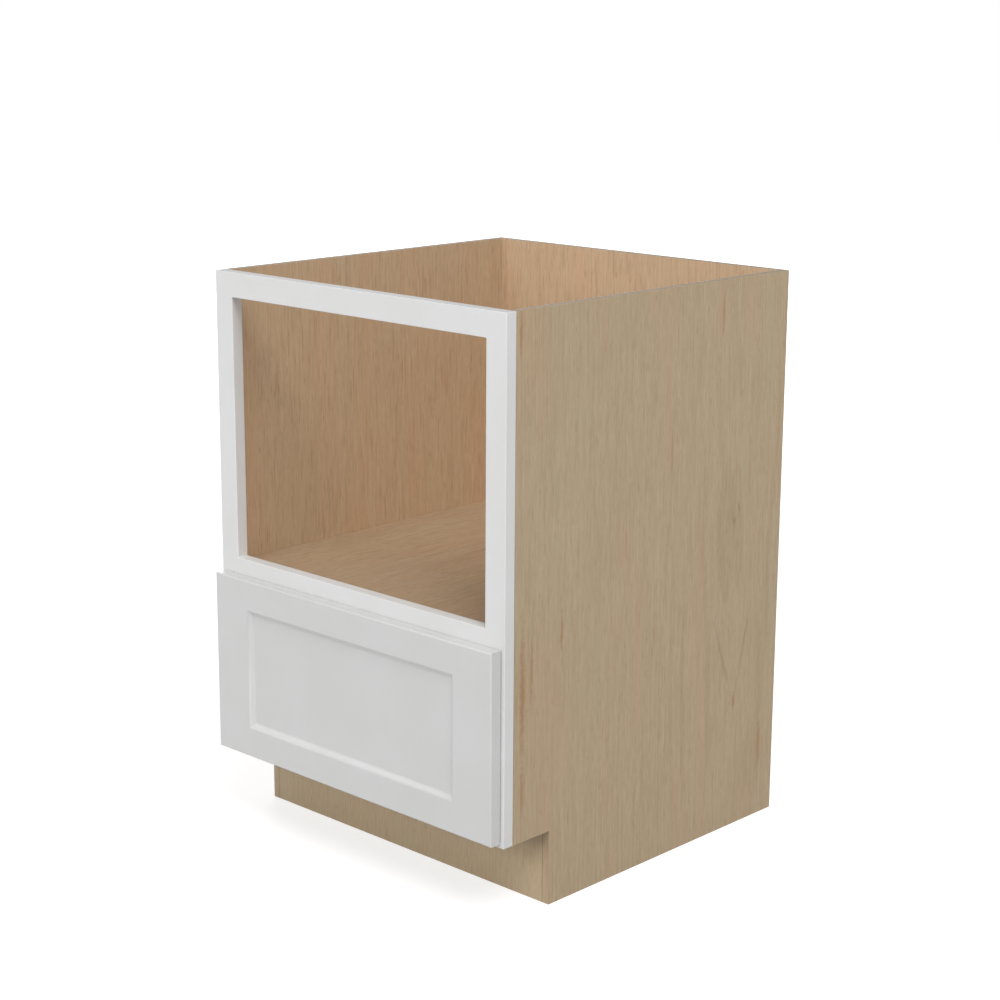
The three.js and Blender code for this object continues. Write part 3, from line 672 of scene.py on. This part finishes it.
# marks on the right side's veneer, in metres from the cabinet's middle and from the floor
SIDE_MARKS = (
    ((-0.268, 0.335), (0.008, 0.14), 0.0, 0.6, RUST),
    ((-0.25, 0.36), (0.005, 0.07), 0.02, 0.5, RUST),
    ((-0.268, 0.19), (0.007, 0.05), 0.0, 0.45, RUST),
    ((-0.187, 0.41), (0.004, 0.04), 0.0, 0.6, RUST),
    ((-0.276, 0.845), (0.005, 0.045), 0.0, 0.5, RUST),
    ((-0.05, 0.512), (0.003, 0.034), 0.03, 0.3, RUST),
    ((0.046, 0.507), (0.0025, 0.028), -0.02, 0.3, RUST),
    ((0.206, 0.502), (0.006, 0.01), 0.1, 0.35, BARK),
    ((0.217, 0.521), (0.005, 0.014), -0.2, 0.28, BARK),
    ((0.186, 0.285), (0.004, 0.09), -0.38, 0.4, SMUDGE),
    ((0.238, 0.29), (0.004, 0.09), 0.24, 0.4, SMUDGE),
    ((0.218, 0.208), (0.006, 0.018), 0.0, 0.55, RUST),
    ((0.287, 0.12), (0.007, 0.055), 0.0, 0.45, RUST),
)


def plywood_board(node, across, along, shift, inside, tone=1.0, marks=(), body="cabinet", slot="maple_ply"):
    """A board with its axes across and along the fibres, the part of the veneer that it is cut from, which of
    its faces looks inside the cabinet, and a tone factor on its veneer, which for some boards is painted
    light or shade."""
    low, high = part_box(node)
    facing = "XYZ".index(across_board(across, along))
    thickness, middle = high[facing] - low[facing], (high[facing] + low[facing]) / 2
    veneer = maple_plywood(node + "_maple", across, along, shift, thickness, middle, inside, tone, marks)
    return board(node, body, slot, veneer)


plywood_board("side_panel_left", "Y", "Z", (0.11, 0.0, 0.47), 1)
plywood_board("side_panel_right", "Y", "Z", (-0.215, 0.0, 0.05), -1, marks=SIDE_MARKS)
# painted light: the back panel's veneer is brightened to stand for light inside the cabinet
plywood_board("back_panel", "X", "Z", (0.07, 0.0, 1.31), -1, 1.12)
# painted shade: the shelf's veneer is darkened because it faces the strong light from above
plywood_board("microwave_shelf", "X", "Y", (-0.05, 0.0, 2.2), 1, 0.74)
plywood_board("cabinet_floor", "X", "Y", (0.4, 0.0, 3.1), 1, 0.9)
# painted light: the toe kick's veneer is brightened to make up for the shade under the drawer front
plywood_board("toe_kick_board", "X", "Z", (0.9, 0.0, 0.7), 1, 1.06)
for side, sign in SIDES:
    wood = solid_maple(f"toe_block_maple_{side}", "X", "Z", (2.0 + sign, 0.3, 0.4), "Z")
    board(f"toe_corner_block_{side}", "cabinet", "maple_ply", wood)

DRAWER_BOX = (
    ("drawer_box_front", "Z", "X", (0.2, 0.1, 0.3)),
    ("drawer_box_back", "Z", "X", (0.7, 0.2, 1.3)),
    ("drawer_box_side_left", "Z", "Y", (1.2, 0.3, 2.3)),
    ("drawer_box_side_right", "Z", "Y", (1.7, 0.4, 3.3)),
)
for node, across, along, shift in DRAWER_BOX:
    board(node, "drawer", "drawer_maple", solid_maple(node + "_maple", across, along, shift, along), 0.3 * MM)
plywood_board("drawer_bottom", "X", "Y", (1.1, 0.2, 0.6), 1, body="drawer", slot="drawer_maple")

zinc = plated_steel("zinc_plated_strip", srgb(190, 194, 197), (900.0, 12.0, 900.0), 0.3)
retainer_strip = plated_steel("plain_retainer_strip", srgb(172, 175, 178), (900.0, 12.0, 900.0), 0.36)
screw_steel = plated_steel("zinc_plated_screws", srgb(196, 197, 194), (300.0, 300.0, 300.0), 0.28)
rubber = clear_rubber("clear_bumper")
# where each kind of screw points, on the cabinet's right side
WAYS = {"stile_screw": (1, 0, 0), "runner_link_screw": (1, 0, 0), "drawer_side_screw": (-1, 0, 0),
        "bracket_screw": (0, 1, 0), "drawer_front_screw": (0, -1, 0)}
for node in frame["nodes"]:
    kind = next((kind for kind in WAYS if node.startswith(kind)), None)
    if kind:
        sign = -1 if "left" in node else 1
        cross_head_screw(node, (WAYS[kind][0] * sign, *WAYS[kind][1:]), screw_steel)
    elif node.startswith("bumper"):
        soft_bumper(node, rubber)
    elif node.startswith("runner_rear_bracket"):
        board(node, "cabinet", "zinc_steel", zinc, kind="pressed_angle")

# the runners: sheet of the members and of the cages, radius of the balls, play between a ball and what it
# touches, and the slots' half heights; a hole has its radius as half length too
SHEET, CAGE_SHEET, BALL, PLAY = 1.2 * MM, 0.8 * MM, 1.6 * MM, 0.15 * MM
HOLE, SLOT = 2.05 * MM, 2.2 * MM
SCREW_ROW = 8 * MM
WEB_LINES = (-11 * MM, -5 * MM, -2.6 * MM, 2.6 * MM, 5 * MM, 11 * MM)
BALLS_PER_ROW = 5


def runner(side, sign):
    """One runner's three rolled members and two ball cages, inside each other."""
    def middle_y(node):
        low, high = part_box(node)
        return (low.y + high.y) / 2

    member_low, member_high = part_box(f"runner_cabinet_member_{side}")
    outer_face = max(abs(member_low.x), abs(member_high.x))
    level = (member_low.z + member_high.z) / 2
    half = (member_high.z - member_low.z) / 2
    span = (member_low.y, member_high.y)

    def add_channel(node, web, toward_drawer, flange, half, bend, sheet, reach, openings, material, slot,
                    curl=0.0, balls=()):
        """A member whose web lies that far in from the runner's outer face."""
        turn = -1 if toward_drawer else 1

        def place(depth, y, height):
            return Vector((sign * (outer_face - web + turn * depth), y, level + height))
        bm = bmesh.new()
        profile = channel_profile(flange, half, bend, WEB_LINES, curl)
        pressed_channel(bm, profile, sheet, place, reach, openings)
        steel_balls(bm, balls, BALL)
        shade_curves(bm)
        made = f"{node}_{side}"
        return piece(f"{made}_rolled", bm, frame["nodes"][made]["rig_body"], slot, material, made)

    stile_y = middle_y(f"stile_screw_{side}_1")
    link_y = middle_y(f"runner_link_screw_{side}")
    middle = (span[0] + span[1]) / 2
    openings = [(stile_y, row, HOLE, HOLE) for row in (-SCREW_ROW, SCREW_ROW)]
    openings += [(link_y, 0.0, HOLE, HOLE)]
    openings += [(stile_y + 32 * MM, row, 5 * MM, SLOT) for row in (-SCREW_ROW, 0.0, SCREW_ROW)]
    openings += [(middle + step * MM, row, 5 * MM, SLOT)
                 for step in (-96, 96) for row in (-SCREW_ROW, SCREW_ROW)]
    openings += [(middle + step * MM, 0.0, 3 * MM, SLOT) for step in (-160, 0, 160)]
    add_channel("runner_cabinet_member", 0.0, True, abs(member_high.x - member_low.x), half, 1.8 * MM, SHEET,
                span, openings, zinc, "zinc_steel", curl=1.4 * MM)

    low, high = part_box(f"runner_middle_member_{side}")
    openings = [(middle + step * MM, 0.0, 7 * MM, SLOT) for step in (-200, -100, 0, 100, 200)]
    add_channel("runner_middle_member", outer_face - max(abs(low.x), abs(high.x)), True, high.x - low.x,
                (high.z - low.z) / 2, 1.5 * MM, SHEET, span, openings, zinc, "zinc_steel")

    low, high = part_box(f"runner_drawer_member_{side}")
    screws = [middle_y(f"drawer_side_screw_{side}_{number}") for number in (1, 2)]
    openings = [(y, 0.0, HOLE, HOLE) for y in screws]
    openings += [(y + step * MM, 0.0, 5 * MM, SLOT) for y in screws for step in (-30, 30)]
    add_channel("runner_drawer_member", outer_face - min(abs(low.x), abs(high.x)), False, high.x - low.x,
                (high.z - low.z) / 2, 1.5 * MM, SHEET, span, openings, zinc, "zinc_steel")

    outer_row = half - SHEET - PLAY - BALL
    inner_row = half - 2 * SHEET - 2 * PLAY - 3 * BALL - PLAY
    for cage, ball_row, ball_depth, flange in (("outer", outer_row, 5.8 * MM, 6.2 * MM),
                                               ("inner", inner_row, 8.6 * MM, 6.4 * MM)):
        node = f"runner_{cage}_retainer"
        low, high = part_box(f"{node}_{side}")
        pitch = (high.y - low.y) / BALLS_PER_ROW
        balls = [Vector((sign * (outer_face - ball_depth), low.y + (index + 0.5) * pitch, level + row))
                 for index in range(BALLS_PER_ROW) for row in (-ball_row, ball_row)]
        windows = [(low.y + (index + 1) * pitch, 0.0, 12 * MM, SLOT) for index in range(BALLS_PER_ROW - 1)]
        add_channel(node, outer_face - max(abs(low.x), abs(high.x)), True, flange, ball_row + CAGE_SHEET / 2,
                    1.0 * MM, CAGE_SHEET, (low.y, high.y), windows, retainer_strip, "retainer_steel",
                    balls=balls)


for side, sign in SIDES:
    runner(side, sign)


# ---------------------------------------------------------------- floor, light and camera

FLOOR_GREY, FLOOR_HALF = (0.46, 0.46, 0.46), 14.0
WORLD_STRENGTH = 0.45
WHITE = (1.0, 1.0, 1.0)
SEEN_BY = ("Is Camera Ray", "Is Glossy Ray", "Is Transmission Ray")


def pale_floor():
    """A pale floor that takes the object's shadow, and glows to white for what looks at it, most far away."""
    bm = bmesh.new()
    bmesh.ops.create_grid(bm, x_segments=1, y_segments=1, size=FLOOR_HALF)
    mesh = bpy.data.meshes.new("studio_floor")
    bm.to_mesh(mesh)
    bm.free()
    floor = bpy.data.objects.new("studio_floor", mesh)
    bpy.context.scene.collection.objects.link(floor)
    finish = Finish("studio_floor")
    path = finish.node("ShaderNodeLightPath").outputs
    rays = path[SEEN_BY[0]]
    for kind in SEEN_BY[1:]:
        rays = finish.math("MAXIMUM", rays, path[kind])
    glow = finish.ramp(finish.length(finish.at["X"], finish.at["Y"]), 0.7, 5.0, 0.68, 1.0)
    finish.set(Base_Color=FLOOR_GREY, Roughness=1.0, Specular_IOR_Level=0.0, Emission_Color=WHITE,
               Emission_Strength=finish.times(rays, glow))
    mesh.materials.append(finish.material)


def white_surround():
    """Soft light from all round, with pure white where it is seen or mirrored."""
    world = bpy.data.worlds.new("studio")
    bpy.context.scene.world = world
    world.use_nodes = True
    tree = world.node_tree
    surround = tree.nodes["Background"]
    surround.inputs["Color"].default_value = (*WHITE, 1)
    surround.inputs["Strength"].default_value = WORLD_STRENGTH
    backdrop = tree.nodes.new("ShaderNodeBackground")
    backdrop.inputs["Color"].default_value = (*WHITE, 1)
    path = tree.nodes.new("ShaderNodeLightPath").outputs
    rays = path[SEEN_BY[0]]
    for kind in SEEN_BY[1:]:
        either = tree.nodes.new("ShaderNodeMath")
        either.operation = "MAXIMUM"
        tree.links.new(rays, either.inputs[0])
        tree.links.new(path[kind], either.inputs[1])
        rays = either.outputs[0]
    mix = tree.nodes.new("ShaderNodeMixShader")
    for value, socket in zip((rays, surround.outputs[0], backdrop.outputs[0]), mix.inputs):
        tree.links.new(value, socket)
    tree.links.new(mix.outputs[0], tree.nodes["World Output"].inputs["Surface"])


LIT_SPOT = Vector((0, 0, 0.4))


def soft_lamp(name, place, size, power):
    lamp = bpy.data.lights.new(name, "AREA")
    lamp.shape = "DISK"
    lamp.size = size
    lamp.energy = power
    made = bpy.data.objects.new(name, lamp)
    made.location = place
    made.rotation_mode = "QUATERNION"
    made.rotation_quaternion = (LIT_SPOT - Vector(place)).to_track_quat("-Z", "Y")
    bpy.context.scene.collection.objects.link(made)


def camera(place, azimuth, dip, roll, focal_length, film_width):
    """The photograph's viewpoint, with its angles in degrees and its lens in mm."""
    turn, dip, roll = (math.radians(angle) for angle in (azimuth, dip, roll))
    ahead = Vector((-math.sin(turn) * math.cos(dip), math.cos(turn) * math.cos(dip), -math.sin(dip)))
    level_right = Vector((math.cos(turn), math.sin(turn), 0))
    level_up = level_right.cross(ahead)
    right = level_right * math.cos(roll) + level_up * math.sin(roll)
    up = level_up * math.cos(roll) - level_right * math.sin(roll)
    lens = bpy.data.cameras.new("camera")
    lens.sensor_width = film_width
    lens.lens = focal_length
    made = bpy.data.objects.new("camera", lens)
    made.matrix_world = Matrix.Translation(place) @ Matrix((right, up, -ahead)).transposed().to_4x4()
    bpy.context.scene.collection.objects.link(made)
    bpy.context.scene.camera = made


pale_floor()
white_surround()
soft_lamp("key", (6.2, -2.9, 10.4), 7.2, 930)
soft_lamp("front_fill", (0.0, -8.5, 3.5), 4.0, 272)
soft_lamp("back_fill", (-5.5, 5.0, 3.4), 4.0, 225)
camera((2.225212, -2.332071, 1.294989), 43.601, 13.567, 0.324, 76.48, 36)
bpy.context.scene.view_settings.view_transform = "Standard"
